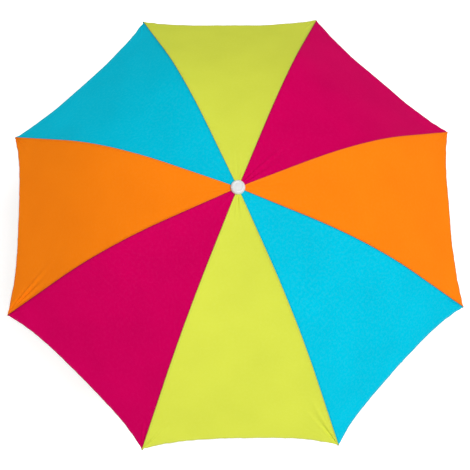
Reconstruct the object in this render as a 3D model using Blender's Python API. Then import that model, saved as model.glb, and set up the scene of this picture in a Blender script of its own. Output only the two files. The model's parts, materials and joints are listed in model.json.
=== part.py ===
"""Beach umbrella with eight canopy panels, a folding rib frame and a tilting two-part pole.

Metres, +Z up. The origin is the middle of the ground spike's end face, under the pole.
Ribs are numbered 1 to 8 counter-clockwise seen from above, rib 1 standing 22.5 degrees from +X.
Panel g spans the gap before rib g, and its halves a and b meet along the panel's middle fold.
"""
import math

import bmesh
import bpy
from mathutils import Matrix, Vector

# Clearances
GAP = 0.0003
RUNNING_GAP = 0.0005

# Canopy and ribs
RIB_COUNT = 8
RIB_STEP = 2 * math.pi / RIB_COUNT
FIRST_RIB = RIB_STEP / 2
TIP_HEIGHT = 1.600
RIB_LENGTH = 0.895
INNER_RUN = 0.220
OUTER_RUN = 0.266
CROWN_SLOPE = math.radians(5.3)
TIP_SLOPE = math.radians(38.7)
CLOTH_THICKNESS = 0.0010
CLOTH_LIFT = 0.0040
CLOTH_START = 0.0095
CLOTH_SAG = 0.012
HEM_SCALLOP = 0.034
HEM_POWER = 3.4
RIB_RADIUS = 0.00175
RIB_END = RIB_LENGTH - 0.012
TIP_BALL_RADIUS = 0.0036
CLOTH_COLUMNS = 5
COLUMN_CROWDING = 1.5

# Crown
PIVOT_RADIUS = 0.0205
WIRE_RADIUS = 0.0008
EYE_RADIUS = 0.0026
EYE_HOLE = 0.00140
EYE_WIDTH = 0.0024
SLOT_WIDTH = 0.0034
SLOT_REACH = 0.0060
CROWN_SLOT_START = 0.0155
HUB_RADIUS = 0.0262
HUB_TOP = 0.0022
HUB_FLOOR = 0.0110
HUB_SKIRT = 0.0200
SKIRT_RADIUS = 0.0150
POLE_SEAT = 0.0065
CAP_RADIUS = 0.0221
CAP_HEIGHT = 0.0135
CAP_WALL = 0.0035
CAP_LAND = 0.0150
CAP_DISH = 0.0013
STUD_RADIUS = 0.0045
STUD_DEPTH = 0.0100
TIP_SOCKET_RADIUS = 0.0024

# Stretchers and runner
CLIP_AT = 0.450
CLIP_DROP = 0.0050
STRETCHER_SIDE = 0.0046
STRETCHER_HEIGHT = 0.0046
STRETCHER_WIDTH = 0.0022
LUG_RADIUS = 0.0032
RIVET_RADIUS = 0.0017
RIVET_HEAD = 0.0034
RUNNER_HEIGHT = 1.665
RUNNER_SLEEVE = 0.055
RUNNER_RADIUS = 0.0148
RUNNER_TOP = 0.0070
THUMB_RADIUS = 0.0190
THUMB_HEIGHT = 0.0040
RUNNER_SLOT_START = 0.0158

# Poles
UPPER_RADIUS = 0.0110
LOWER_RADIUS = 0.0125
WALL = 0.0012
UPPER_BOTTOM = 0.9685
MIDDLE_BOTTOM = 0.340
MIDDLE_TOP = 0.8817
LOWER_BOTTOM = 0.1003
LOWER_TOP = 0.620
SPIGOT_LENGTH = 0.027

# Tilt joint
TILT_HEIGHT = 0.930
TONGUE_THICKNESS = 0.0090
CHEEK_THICKNESS = 0.0047
EAR_RADIUS = 0.0110
COLLAR_RADIUS = 0.0125
PIN_RADIUS = 0.0030
BUTTON_RADIUS = 0.0040
BUTTON_HEIGHT = 0.8955
BUTTON_TRAVEL_SEAT = 0.0022
BUTTON_IN = 0.0058
BUTTON_OUT = 0.0044
KNUCKLE_COLLAR = 0.0110
CLEVIS_COLLAR = 0.0270
PIN_HEAD = 0.0022
EDGE_BREAK = 0.0008

# Runner latch
LATCH_TOP = 1.6095
LATCH_WIDTH = 0.0024
LATCH_NOSE = 0.0210
LATCH_LENGTH = 0.0780

# Height clamp and spike
CLAMP_BOTTOM = 0.600
CLAMP_TOP = 0.662
CLAMP_RADIUS = 0.0170
SCREW_HEIGHT = 0.642
SCREW_RADIUS = 0.0030
KNOB_RADIUS = 0.0150
KNOB_LOBES = 5
KNOB_LOBE_HEIGHT = 0.0014
KNOB_POINTS = 40
BOSS_RADIUS = 0.0075
CLAMP_CHAMFER = 0.0030
SPIKE_FLAT = 0.0030
SPIKE_LENGTH = 0.100
SPIKE_SHOULDER = 0.078
SPIKE_TAPER = 0.060
SPIKE_WAIST = 0.0108
SPIKE_RADIUS = 0.0140
SPIKE_SPIGOT = 0.030

ROUND = 28
FINE = 12
ROD_SIDES = 8
THROUGH = 0.04
WELD = 0.00002
SMOOTH_ANGLE = math.radians(32)

FINISHES = {
    "orange_cloth": ("#ff7f12", 0.72, 0.0),
    "magenta_cloth": ("#c80052", 0.72, 0.0),
    "lime_cloth": ("#d0da4a", 0.72, 0.0),
    "turquoise_cloth": ("#00bddb", 0.72, 0.0),
    "white_plastic": ("#f4f5f3", 0.35, 0.0),
    "dark_plastic": ("#3b3d40", 0.45, 0.0),
    "white_steel": ("#eceded", 0.35, 0.0),
    "bare_steel": ("#a9abad", 0.32, 1.0),
}
PANEL_CLOTHS = ("orange_cloth", "magenta_cloth", "lime_cloth", "turquoise_cloth")


# ---------------------------------------------------------------- scene, colours and objects

def clear_scene():
    for item in list(bpy.data.objects):
        bpy.data.objects.remove(item, do_unlink=True)


def linear(hex_colour):
    channels = [int(hex_colour[i:i + 2], 16) / 255 for i in (1, 3, 5)]
    return [c / 12.92 if c <= 0.04045 else ((c + 0.055) / 1.055) ** 2.4 for c in channels] + [1.0]


def material(name, finish):
    colour, roughness, metallic = FINISHES[finish]
    made = bpy.data.materials.new(name)
    made.use_nodes = True
    made.diffuse_color = linear(colour)
    shader = made.node_tree.nodes["Principled BSDF"]
    shader.inputs["Base Color"].default_value = linear(colour)
    shader.inputs["Roughness"].default_value = roughness
    shader.inputs["Metallic"].default_value = metallic
    return made


def add_object(name, mesh, finish, place=Matrix.Identity(4)):
    item = bpy.data.objects.new(name, mesh)
    bpy.context.scene.collection.objects.link(item)
    item.matrix_world = place
    if not mesh.materials:
        mesh.materials.append(None)
    item.material_slots[0].link = "OBJECT"
    item.material_slots[0].material = material(name, finish)
    return item


def finish_mesh(name, bm, smooth=True):
    bmesh.ops.recalc_face_normals(bm, faces=bm.faces)
    if bm.calc_volume(signed=True) < 0:
        bmesh.ops.reverse_faces(bm, faces=bm.faces)
    mesh = bpy.data.meshes.new(name)
    bm.to_mesh(mesh)
    bm.free()
    if smooth:
        mesh.shade_smooth()
        mesh.set_sharp_from_angle(angle=SMOOTH_ANGLE)
    return mesh


# ---------------------------------------------------------------- solids

def turned(name, profile, sides=ROUND, axis="Z"):
    """A lathe shape: profile points are (radius, height), going round the section."""
    bm = bmesh.new()
    points = [bm.verts.new((radius, 0.0, height)) for radius, height in profile]
    edges = [bm.edges.new(pair) for pair in zip(points, points[1:])]
    if profile[0][0] > 0 or profile[-1][0] > 0:
        edges.append(bm.edges.new((points[-1], points[0])))
    bmesh.ops.spin(bm, geom=points + edges, cent=(0, 0, 0), axis=(0, 0, 1),
                   angle=2 * math.pi, steps=sides, use_merge=True)
    bmesh.ops.remove_doubles(bm, verts=bm.verts, dist=1e-6)
    if axis == "Y":
        bmesh.ops.rotate(bm, verts=bm.verts, cent=(0, 0, 0), matrix=Matrix.Rotation(math.pi / 2, 3, "X"))
    return finish_mesh(name, bm)


def tube(name, radius, bottom, top, wall=WALL):
    inner = radius - wall
    return turned(name, [(inner, bottom), (radius, bottom), (radius, top), (inner, top)])


def ring_wire(name, radius, wire, sides=32, wire_sides=6):
    turn = 2 * math.pi / wire_sides
    corners = [(radius + wire * math.cos(i * turn), wire * math.sin(i * turn)) for i in range(wire_sides)]
    return turned(name, corners, sides)


def plate(name, outline, half_width, middle=0.0):
    """A flat plate: outline points are (x, z), and its thickness runs along Y."""
    bm = bmesh.new()
    front = bm.faces.new([bm.verts.new((x, middle - half_width, z)) for x, z in outline])
    grown = bmesh.ops.extrude_face_region(bm, geom=[front])
    moved = [v for v in grown["geom"] if isinstance(v, bmesh.types.BMVert)]
    bmesh.ops.translate(bm, verts=moved, vec=(0, 2 * half_width, 0))
    return finish_mesh(name, bm, smooth=False)


def loft(name, rings):
    """Joins rings of equal length into one closed body with flat ends."""
    bm = bmesh.new()
    loops = [[bm.verts.new(point) for point in ring] for ring in rings]
    for near, far in zip(loops, loops[1:]):
        for i in range(len(near)):
            j = (i + 1) % len(near)
            bm.faces.new((near[i], near[j], far[j], far[i]))
    bm.faces.new(loops[0])
    bm.faces.new(loops[-1])
    return finish_mesh(name, bm)


def slab(name, upper, lower):
    """Closes the space between two equal grids of points."""
    bm = bmesh.new()
    top = [[bm.verts.new(point) for point in row] for row in upper]
    bottom = [[bm.verts.new(point) for point in row] for row in lower]
    rows = len(top) - 1
    columns = len(top[0]) - 1
    for i in range(rows):
        for j in range(columns):
            for grid in (top, bottom):
                bm.faces.new((grid[i][j], grid[i + 1][j], grid[i + 1][j + 1], grid[i][j + 1]))
    border = [(i, 0) for i in range(rows)] + [(rows, j) for j in range(columns)]
    border += [(i, columns) for i in range(rows, 0, -1)] + [(0, j) for j in range(columns, 0, -1)]
    for (i, j), (k, m) in zip(border, border[1:] + border[:1]):
        bm.faces.new((top[i][j], top[k][m], bottom[k][m], bottom[i][j]))
    return finish_mesh(name, bm)


def box(name, low, high):
    bm = bmesh.new()
    bmesh.ops.create_cube(bm, size=1.0)
    size = Vector(high) - Vector(low)
    bmesh.ops.scale(bm, verts=bm.verts, vec=size)
    bmesh.ops.translate(bm, verts=bm.verts, vec=(Vector(high) + Vector(low)) / 2)
    return finish_mesh(name, bm, smooth=False)


def rounded_outline(half_width, centre_z, base_z, points=12):
    """A plate outline with a round end about (0, centre_z) and a straight end at base_z."""
    start = 0 if centre_z > base_z else math.pi
    arc = [start + math.pi * i / points for i in range(points + 1)]
    outline = [(half_width * math.cos(a), centre_z + half_width * math.sin(a)) for a in arc]
    return outline + [(outline[-1][0], base_z), (outline[0][0], base_z)]


def combine(name, base, operation, tools):
    """Adds or cuts the tool meshes and returns the finished mesh."""
    item = bpy.data.objects.new("work", base)
    bpy.context.scene.collection.objects.link(item)
    helpers = []
    for tool in tools:
        helper = bpy.data.objects.new("tool", tool)
        bpy.context.scene.collection.objects.link(helper)
        helpers.append(helper)
        step = item.modifiers.new("step", "BOOLEAN")
        step.operation = operation
        step.solver = "EXACT"
        step.object = helper
    evaluated = item.evaluated_get(bpy.context.evaluated_depsgraph_get())
    bm = bmesh.new()
    bm.from_mesh(evaluated.to_mesh())
    for made in [item] + helpers:
        bpy.data.objects.remove(made, do_unlink=True)
    bmesh.ops.remove_doubles(bm, verts=bm.verts, dist=WELD)
    bmesh.ops.dissolve_degenerate(bm, edges=bm.edges, dist=WELD)
    return finish_mesh(name, bm)


def placed(mesh, matrix):
    copy = mesh.copy()
    copy.transform(matrix)
    return copy


# ---------------------------------------------------------------- rib line and cloth surface

BEND_RUN = RIB_LENGTH - INNER_RUN - OUTER_RUN
BEND_RADIUS = BEND_RUN / (TIP_SLOPE - CROWN_SLOPE)


def cloth_line(run):
    """Radius, drop below the crown and slope of the cloth over a rib, a given run from the axis."""
    straight = min(run, INNER_RUN)
    slope = CROWN_SLOPE + min(max(run - INNER_RUN, 0.0), BEND_RUN) / BEND_RADIUS
    outer = max(run - INNER_RUN - BEND_RUN, 0.0)
    radius = straight * math.cos(CROWN_SLOPE) + BEND_RADIUS * (math.sin(slope) - math.sin(CROWN_SLOPE))
    drop = straight * math.sin(CROWN_SLOPE) + BEND_RADIUS * (math.cos(CROWN_SLOPE) - math.cos(slope))
    return radius + outer * math.cos(slope), drop + outer * math.sin(slope), slope


CROWN_HEIGHT = TIP_HEIGHT + cloth_line(RIB_LENGTH)[1]


def under_cloth(run, depth):
    """A point (radius, height) at a depth below the cloth over a rib."""
    radius, drop, slope = cloth_line(run)
    return radius - depth * math.sin(slope), CROWN_HEIGHT - drop - depth * math.cos(slope)


PIVOT_RUN = (PIVOT_RADIUS + CLOTH_LIFT * math.sin(CROWN_SLOPE)) / math.cos(CROWN_SLOPE)
PIVOT_HEIGHT = under_cloth(PIVOT_RUN, CLOTH_LIFT)[1]


def stations(start, end, bend_steps=6, outer_steps=2):
    """Runs along a rib: few on the straight stretches, more round the bend."""
    bend_end = INNER_RUN + BEND_RUN
    middle = (start + INNER_RUN) / 2
    bend = [INNER_RUN + BEND_RUN * i / bend_steps for i in range(bend_steps + 1)]
    outer = [bend_end + (end - bend_end) * i / outer_steps for i in range(1, outer_steps + 1)]
    return [start, middle] + bend + outer


def cloth_point(run, across, side):
    """Cloth surface from a rib (across 0) to its panel's middle fold (across 1), the rib along +X."""
    radius, drop, slope = cloth_line(run)
    chord = Vector((radius * (math.cos(RIB_STEP) - 1), side * radius * math.sin(RIB_STEP), 0))
    point = Vector((radius, 0, CROWN_HEIGHT - drop)) + chord * across / 2
    fold = side * RIB_STEP / 2
    outward = Vector((math.sin(slope) * math.cos(fold), math.sin(slope) * math.sin(fold), math.cos(slope)))
    sag = CLOTH_SAG * math.sin(math.pi * run / RIB_LENGTH) ** 2 * across * (2 - across)
    return point - outward * sag


def cloth_grid(side):
    """Rows of surface points and normals; the last row follows the scalloped hem."""
    runs = stations(CLOTH_START, RIB_LENGTH)
    points = []
    for run in runs:
        share = (run - CLOTH_START) / (RIB_LENGTH - CLOTH_START)
        row = []
        for j in range(CLOTH_COLUMNS + 1):
            across = (j / CLOTH_COLUMNS) ** COLUMN_CROWDING
            scallop = HEM_SCALLOP * (1 - (1 - across) ** HEM_POWER)
            row.append(cloth_point(run - scallop * share ** 3, across, side))
        points.append(row)
    return points


def grid_normal(points, i, j, side):
    along = points[min(i + 1, len(points) - 1)][j] - points[max(i - 1, 0)][j]
    across = points[i][min(j + 1, CLOTH_COLUMNS)] - points[i][max(j - 1, 0)]
    normal = along.cross(across) * side
    return normal.normalized()


def half_panel(side):
    """A closed cloth solid for half a panel, kept a gap away from the rib line and the fold."""
    points = cloth_grid(side)
    fold = side * RIB_STEP / 2
    off_fold = Vector((math.sin(fold), -math.cos(fold), 0)) * side * GAP
    upper = []
    lower = []
    for i, row in enumerate(points):
        upper.append([])
        lower.append([])
        for j, point in enumerate(row):
            normal = grid_normal(points, i, j, side)
            shift = Vector((0, side * GAP, 0)) if j == 0 else Vector((0, 0, 0))
            shift = off_fold if j == CLOTH_COLUMNS else shift
            upper[-1].append(point + shift + normal * CLOTH_THICKNESS / 2)
            lower[-1].append(point + shift - normal * CLOTH_THICKNESS / 2)
    return slab("half_panel", upper, lower)


# ---------------------------------------------------------------- crown, ribs and runner

def bar_outline(radius, low, high):
    """Half outline of a plain round bar."""
    return [(0, low), (radius, low), (radius, high), (0, high)]


def eye(centre_x, centre_z, middle_y=0.0, radius=EYE_RADIUS, width=EYE_WIDTH):
    disc = turned("eye", bar_outline(radius, -width / 2, width / 2), FINE, "Y")
    return placed(disc, Matrix.Translation((centre_x, middle_y, centre_z)))


def eye_hole(centre_x, centre_z, middle_y=0.0):
    return eye(centre_x, centre_z, middle_y, EYE_HOLE, 4 * EYE_WIDTH)


def rod_ring(run):
    """Points round the rib's rod at a run from the axis."""
    radius, height = under_cloth(run, CLOTH_LIFT)
    slope = cloth_line(run)[2]
    ring = []
    for i in range(ROD_SIDES):
        turn = 2 * math.pi * (i + 0.5) / ROD_SIDES
        lift = RIB_RADIUS * math.sin(turn)
        side = RIB_RADIUS * math.cos(turn)
        ring.append((radius + lift * math.sin(slope), side, height + lift * math.cos(slope)))
    return ring


def rib_mesh():
    """A sprung steel rod with an eye for the crown wire and a lug for its stretcher, along +X."""
    rod = loft("rib", [rod_ring(run) for run in stations(PIVOT_RUN, RIB_END)])
    lug_x, lug_z = under_cloth(CLIP_AT, CLOTH_LIFT + CLIP_DROP)
    top_x, top_z = under_cloth(CLIP_AT, CLOTH_LIFT)
    lug = eye(lug_x, lug_z, 0, LUG_RADIUS, 2 * RIB_RADIUS)
    half = LUG_RADIUS - 0.0001
    corners = [(lug_x - half, lug_z), (lug_x + half, lug_z), (top_x + half, top_z), (top_x - half, top_z)]
    web = plate("web", corners, RIB_RADIUS * 0.9)
    whole = combine("rib", rod, "UNION", [eye(PIVOT_RADIUS, PIVOT_HEIGHT), lug, web])
    return combine("rib", whole, "DIFFERENCE", [eye_hole(PIVOT_RADIUS, PIVOT_HEIGHT)])


def rib_tip_mesh():
    """The turned end piece on a rib, its length along +Z from the rib's cut end."""
    length = RIB_LENGTH - RIB_END - GAP
    ball = [(TIP_BALL_RADIUS * math.cos(a), length + TIP_BALL_RADIUS * math.sin(a))
            for a in [math.pi / 2 * i / 4 for i in range(4)]]
    socket = [(0, 0), (TIP_SOCKET_RADIUS, 0), (TIP_SOCKET_RADIUS + 0.0002, length * 0.6)]
    return turned("rib_tip", socket + ball + [(0, length + TIP_BALL_RADIUS)], FINE)


def stretcher_ends():
    """Pivot points (x, z) of a stretcher: on the runner wire and under its rib."""
    inner_x = math.sqrt(PIVOT_RADIUS ** 2 - STRETCHER_SIDE ** 2)
    return (inner_x, RUNNER_HEIGHT), under_cloth(CLIP_AT, CLOTH_LIFT + CLIP_DROP)


def stretcher_mesh():
    """A flat steel bar beside its rib's plane, with an eye on the runner wire and a rivet under the rib."""
    (inner_x, inner_z), (outer_x, outer_z) = stretcher_ends()
    along = Vector((outer_x - inner_x, 0, outer_z - inner_z)).normalized()
    up = Vector((-along.z, 0, along.x)) * STRETCHER_HEIGHT / 2
    corners = [Vector((inner_x, 0, inner_z)) - up, Vector((outer_x, 0, outer_z)) - up,
               Vector((outer_x, 0, outer_z)) + up, Vector((inner_x, 0, inner_z)) + up]
    bar = plate("stretcher", [(c.x, c.z) for c in corners], STRETCHER_WIDTH / 2, STRETCHER_SIDE)
    inner_eye = eye(inner_x, inner_z, STRETCHER_SIDE)
    half = EYE_WIDTH / 2
    rivet = [(0, -2 * half), (RIVET_RADIUS, -2 * half), (RIVET_RADIUS, -half), (RIVET_HEAD, -half),
             (RIVET_HEAD, half), (RIVET_RADIUS, half), (RIVET_RADIUS, 2 * half), (0, 2 * half)]
    outer_eye = turned("riveted_eye", rivet, FINE, "Y")
    outer_eye = placed(outer_eye, Matrix.Translation((outer_x, STRETCHER_SIDE, outer_z)))
    whole = combine("stretcher", bar, "UNION", [inner_eye, outer_eye])
    return combine("stretcher", whole, "DIFFERENCE", [eye_hole(inner_x, inner_z, STRETCHER_SIDE)])


def notch_cutters(height, side_shift, inner):
    """Eight radial slots for the eyes and the round channel for their wire."""
    half = SLOT_WIDTH / 2
    low = (inner, side_shift - half, height - THROUGH)
    high = (HUB_RADIUS + SLOT_REACH, side_shift + half, height + THROUGH)
    slot = box("slot", low, high)
    turns = [FIRST_RIB + i * RIB_STEP for i in range(RIB_COUNT)]
    return [placed(slot, Matrix.Rotation(turn, 4, "Z")) for turn in turns]


def wire_channel(height, mouth):
    half = WIRE_RADIUS + RUNNING_GAP
    roof = height + half if mouth < height else height - half
    return turned("channel", [(PIVOT_RADIUS - half, mouth), (PIVOT_RADIUS + half, mouth),
                              (PIVOT_RADIUS + half, roof), (PIVOT_RADIUS - half, roof)])


def crown_hub_mesh():
    top = PIVOT_HEIGHT + HUB_TOP
    floor = PIVOT_HEIGHT - HUB_FLOOR
    skirt = PIVOT_HEIGHT - HUB_SKIRT
    seat = PIVOT_HEIGHT - POLE_SEAT
    bore = UPPER_RADIUS + GAP
    socket = STUD_RADIUS + GAP
    outside = [(bore, skirt), (SKIRT_RADIUS, skirt), (SKIRT_RADIUS, floor), (HUB_RADIUS, floor)]
    inside = [(HUB_RADIUS, top), (socket, top), (socket, seat), (bore, seat)]
    blank = turned("crown_hub", outside + inside)
    cutters = notch_cutters(PIVOT_HEIGHT, 0.0, CROWN_SLOT_START)
    return combine("crown_hub", blank, "DIFFERENCE", cutters + [wire_channel(PIVOT_HEIGHT, floor - 0.002)])


def top_cap_mesh():
    """A cap with a rounded shoulder, a raised ring and a shallow dish, on a stud that enters the hub."""
    rim = CROWN_HEIGHT - cloth_line(CAP_RADIUS)[1] + CLOTH_THICKNESS / 2 + RUNNING_GAP
    peak = CROWN_HEIGHT + CLOTH_THICKNESS / 2 + RUNNING_GAP
    top = rim + CAP_HEIGHT
    stud = bar_outline(STUD_RADIUS, peak - STUD_DEPTH, peak)[:3]
    under = stud + [(CAP_RADIUS - 0.0016, rim), (CAP_RADIUS, rim)]
    shoulder = []
    for i in range(8):
        turn = math.pi / 2 * i / 7
        radius = CAP_LAND + (CAP_RADIUS - CAP_LAND) * math.cos(turn)
        shoulder.append((radius, rim + CAP_WALL + (CAP_HEIGHT - CAP_WALL) * math.sin(turn)))
    dish = [(CAP_LAND - 0.0012, top - CAP_DISH * 0.3), (CAP_LAND - 0.0018, top - CAP_DISH),
            (CAP_LAND * 0.5, top - CAP_DISH * 0.7), (0, top - CAP_DISH * 0.55)]
    return turned("top_cap", under + shoulder + dish)


def runner_mesh():
    """Sleeve with a thumb flange below and a notched flange for the stretchers above."""
    bore = UPPER_RADIUS + RUNNING_GAP
    top = RUNNER_HEIGHT + RUNNER_TOP
    floor = RUNNER_HEIGHT - HUB_TOP
    bottom = RUNNER_HEIGHT - RUNNER_SLEEVE
    thumb = bottom + THUMB_HEIGHT
    flange = [(bore, bottom), (THUMB_RADIUS, bottom), (THUMB_RADIUS, thumb), (RUNNER_RADIUS, thumb + 0.003)]
    head = [(RUNNER_RADIUS, floor - 0.004), (HUB_RADIUS, floor), (HUB_RADIUS, top), (bore, top)]
    blank = turned("runner", flange + head)
    slots = notch_cutters(RUNNER_HEIGHT, STRETCHER_SIDE, RUNNER_SLOT_START)
    return combine("runner", blank, "DIFFERENCE", slots + [wire_channel(RUNNER_HEIGHT, top + 0.002)])


# ---------------------------------------------------------------- poles, tilt joint, clamp and spike

def upper_pole_mesh():
    blank = tube("upper_pole", UPPER_RADIUS, UPPER_BOTTOM, PIVOT_HEIGHT - POLE_SEAT - GAP)
    half = LATCH_WIDTH / 2 + RUNNING_GAP
    low = (UPPER_RADIUS / 2, -half, LATCH_TOP - LATCH_NOSE - 0.003)
    slot = box("slot", low, (2 * UPPER_RADIUS, half, LATCH_TOP + 0.001))
    return combine("upper_pole", blank, "DIFFERENCE", [slot])


def latch_mesh():
    """A spring strip inside the pole with a nose that stands out under the runner."""
    foot = LATCH_TOP - LATCH_LENGTH
    shoulder = LATCH_TOP - LATCH_NOSE
    outline = [(0.0070, foot), (0.0079, foot), (0.0079, shoulder), (0.0105, shoulder),
               (0.0150, LATCH_TOP - 0.003), (0.0150, LATCH_TOP), (0.0070, LATCH_TOP)]
    return plate("runner_latch", outline, LATCH_WIDTH / 2)


def cross_hole(radius, height):
    hole = turned("hole", bar_outline(radius, -THROUGH, THROUGH), FINE, "Y")
    return placed(hole, Matrix.Translation((0, 0, height)))


def tilt_knuckle_mesh():
    collar_high = UPPER_BOTTOM - GAP
    collar_low = collar_high - KNUCKLE_COLLAR
    collar = [(0, collar_low), (COLLAR_RADIUS, collar_low), (COLLAR_RADIUS, collar_high)]
    inside = UPPER_RADIUS - WALL - GAP
    end = collar_high + SPIGOT_LENGTH
    body = turned("tilt_knuckle", collar + [(inside, collar_high), (inside, end), (0, end)])
    outline = rounded_outline(EAR_RADIUS, TILT_HEIGHT, collar_low + 0.002)
    whole = combine("tilt_knuckle", body, "UNION", [plate("tongue", outline, TONGUE_THICKNESS / 2)])
    return combine("tilt_knuckle", whole, "DIFFERENCE", [cross_hole(PIN_RADIUS + GAP, TILT_HEIGHT)])


def tilt_clevis_mesh():
    base_low = MIDDLE_TOP + GAP
    base_high = base_low + CLEVIS_COLLAR
    inside = UPPER_RADIUS - WALL - GAP
    end = base_low - SPIGOT_LENGTH
    collar = [(COLLAR_RADIUS, base_low), (COLLAR_RADIUS, base_high), (0, base_high)]
    body = turned("tilt_clevis", [(0, end), (inside, end), (inside, base_low)] + collar)
    outline = rounded_outline(EAR_RADIUS, TILT_HEIGHT, base_high - 0.002)
    middle = TONGUE_THICKNESS / 2 + GAP + CHEEK_THICKNESS / 2
    cheeks = [plate("cheek", outline, CHEEK_THICKNESS / 2, side * middle) for side in (-1, 1)]
    whole = combine("tilt_clevis", body, "UNION", cheeks)
    seat = turned("seat", bar_outline(BUTTON_RADIUS + GAP, -THROUGH, -BUTTON_TRAVEL_SEAT), FINE)
    seat = placed(seat, Matrix.Translation((0, 0, BUTTON_HEIGHT)) @ Matrix.Rotation(-math.pi / 2, 4, "X"))
    return combine("tilt_clevis", whole, "DIFFERENCE", [cross_hole(PIN_RADIUS + GAP, TILT_HEIGHT), seat])


def tilt_pin_mesh():
    reach = TONGUE_THICKNESS / 2 + 2 * GAP + CHEEK_THICKNESS
    head = reach + PIN_HEAD
    wide = PIN_RADIUS + 0.0020
    face = [(wide, head - EDGE_BREAK), (wide - EDGE_BREAK, head), (0, head)]
    upper = [(PIN_RADIUS, reach), (wide, reach)] + face
    lower = [(radius, -height) for radius, height in reversed(upper)]
    return turned("tilt_pin", lower + upper, FINE, "Y")


def button_mesh():
    """A round push button; its pressed end points along -Y."""
    radius = BUTTON_RADIUS
    face = [(radius, BUTTON_OUT - EDGE_BREAK), (radius - EDGE_BREAK, BUTTON_OUT), (0, BUTTON_OUT)]
    return turned("tilt_button", [(0, -BUTTON_IN), (radius, -BUTTON_IN)] + face, FINE, "Y")


def clamp_collar_mesh():
    over_lower = LOWER_RADIUS + GAP
    over_middle = UPPER_RADIUS + RUNNING_GAP
    step = LOWER_TOP + GAP
    chamfer = [(CLAMP_RADIUS, CLAMP_TOP - CLAMP_CHAMFER), (CLAMP_RADIUS - CLAMP_CHAMFER, CLAMP_TOP)]
    outside = [(over_lower, CLAMP_BOTTOM), (CLAMP_RADIUS, CLAMP_BOTTOM)] + chamfer
    inside = [(over_middle, CLAMP_TOP), (over_middle, step), (over_lower, step)]
    blank = turned("clamp_collar", outside + inside)
    boss = turned("boss", bar_outline(BOSS_RADIUS, CLAMP_RADIUS - 0.0025, CLAMP_RADIUS + 0.0100), FINE, "Y")
    bore = turned("bore", bar_outline(SCREW_RADIUS + GAP, 0.0050, THROUGH), FINE, "Y")
    lift = Matrix.Translation((0, 0, SCREW_HEIGHT))
    whole = combine("clamp_collar", blank, "UNION", [placed(boss, lift)])
    return combine("clamp_collar", whole, "DIFFERENCE", [placed(bore, lift)])


def clamp_screw_mesh():
    """Knob with five finger lobes and a plain shank, pointing along -Y."""
    outline = []
    for i in range(KNOB_POINTS):
        turn = 2 * math.pi * i / KNOB_POINTS
        radius = KNOB_RADIUS + KNOB_LOBE_HEIGHT * math.cos(KNOB_LOBES * turn)
        outline.append((radius * math.cos(turn), radius * math.sin(turn)))
    knob = plate("clamp_screw", outline, 0.0060, -0.0335)
    shank = turned("shank", bar_outline(SCREW_RADIUS, 0.0116, 0.0300), FINE, "Y")
    return combine("clamp_screw", knob, "UNION", [shank])


def ground_spike_mesh():
    inside = LOWER_RADIUS - WALL - GAP
    end = SPIKE_LENGTH + SPIKE_SPIGOT
    point = [(0, 0), (SPIKE_FLAT, 0), (SPIKE_WAIST, SPIKE_TAPER), (SPIKE_RADIUS, SPIKE_SHOULDER)]
    profile = point + [(SPIKE_RADIUS, SPIKE_LENGTH), (inside, SPIKE_LENGTH), (inside, end), (0, end)]
    return turned("ground_spike", profile)


# ---------------------------------------------------------------- assembly

def moved_to(point):
    return Matrix.Translation(point)


def add_on_pivot(name, mesh, finish, pivot, turn=0.0):
    """Places a mesh made in world position so that its object's origin is its pivot."""
    local = placed(mesh, moved_to(-Vector(pivot)))
    return add_object(name, local, finish, Matrix.Rotation(turn, 4, "Z") @ moved_to(pivot))


def build_poles():
    add_object("ground_spike", ground_spike_mesh(), "white_plastic")
    add_object("lower_pole", tube("lower_pole", LOWER_RADIUS, LOWER_BOTTOM, LOWER_TOP), "white_steel")
    add_object("middle_tube", tube("middle_tube", UPPER_RADIUS, MIDDLE_BOTTOM, MIDDLE_TOP), "white_steel")
    add_object("upper_pole", upper_pole_mesh(), "white_steel")
    add_object("clamp_collar", clamp_collar_mesh(), "white_plastic")
    add_object("clamp_screw", clamp_screw_mesh(), "white_plastic", moved_to((0, 0, SCREW_HEIGHT)))
    add_object("tilt_clevis", tilt_clevis_mesh(), "white_plastic")
    add_on_pivot("tilt_knuckle", tilt_knuckle_mesh(), "white_plastic", (0, 0, TILT_HEIGHT))
    add_object("tilt_pin", tilt_pin_mesh(), "bare_steel", moved_to((0, 0, TILT_HEIGHT)))
    button_place = moved_to((0, -COLLAR_RADIUS + 0.0004, BUTTON_HEIGHT))
    add_object("tilt_button", button_mesh(), "dark_plastic", button_place)
    add_object("runner_latch", latch_mesh(), "bare_steel")


def build_crown_and_runner():
    wire = ring_wire("ring_wire", PIVOT_RADIUS, WIRE_RADIUS)
    add_object("crown_hub", crown_hub_mesh(), "white_plastic")
    add_object("crown_ring", wire, "bare_steel", moved_to((0, 0, PIVOT_HEIGHT)))
    add_object("top_cap", top_cap_mesh(), "white_plastic")
    add_object("runner", runner_mesh(), "white_plastic")
    add_object("runner_ring", wire.copy(), "bare_steel", moved_to((0, 0, RUNNER_HEIGHT)))


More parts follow.
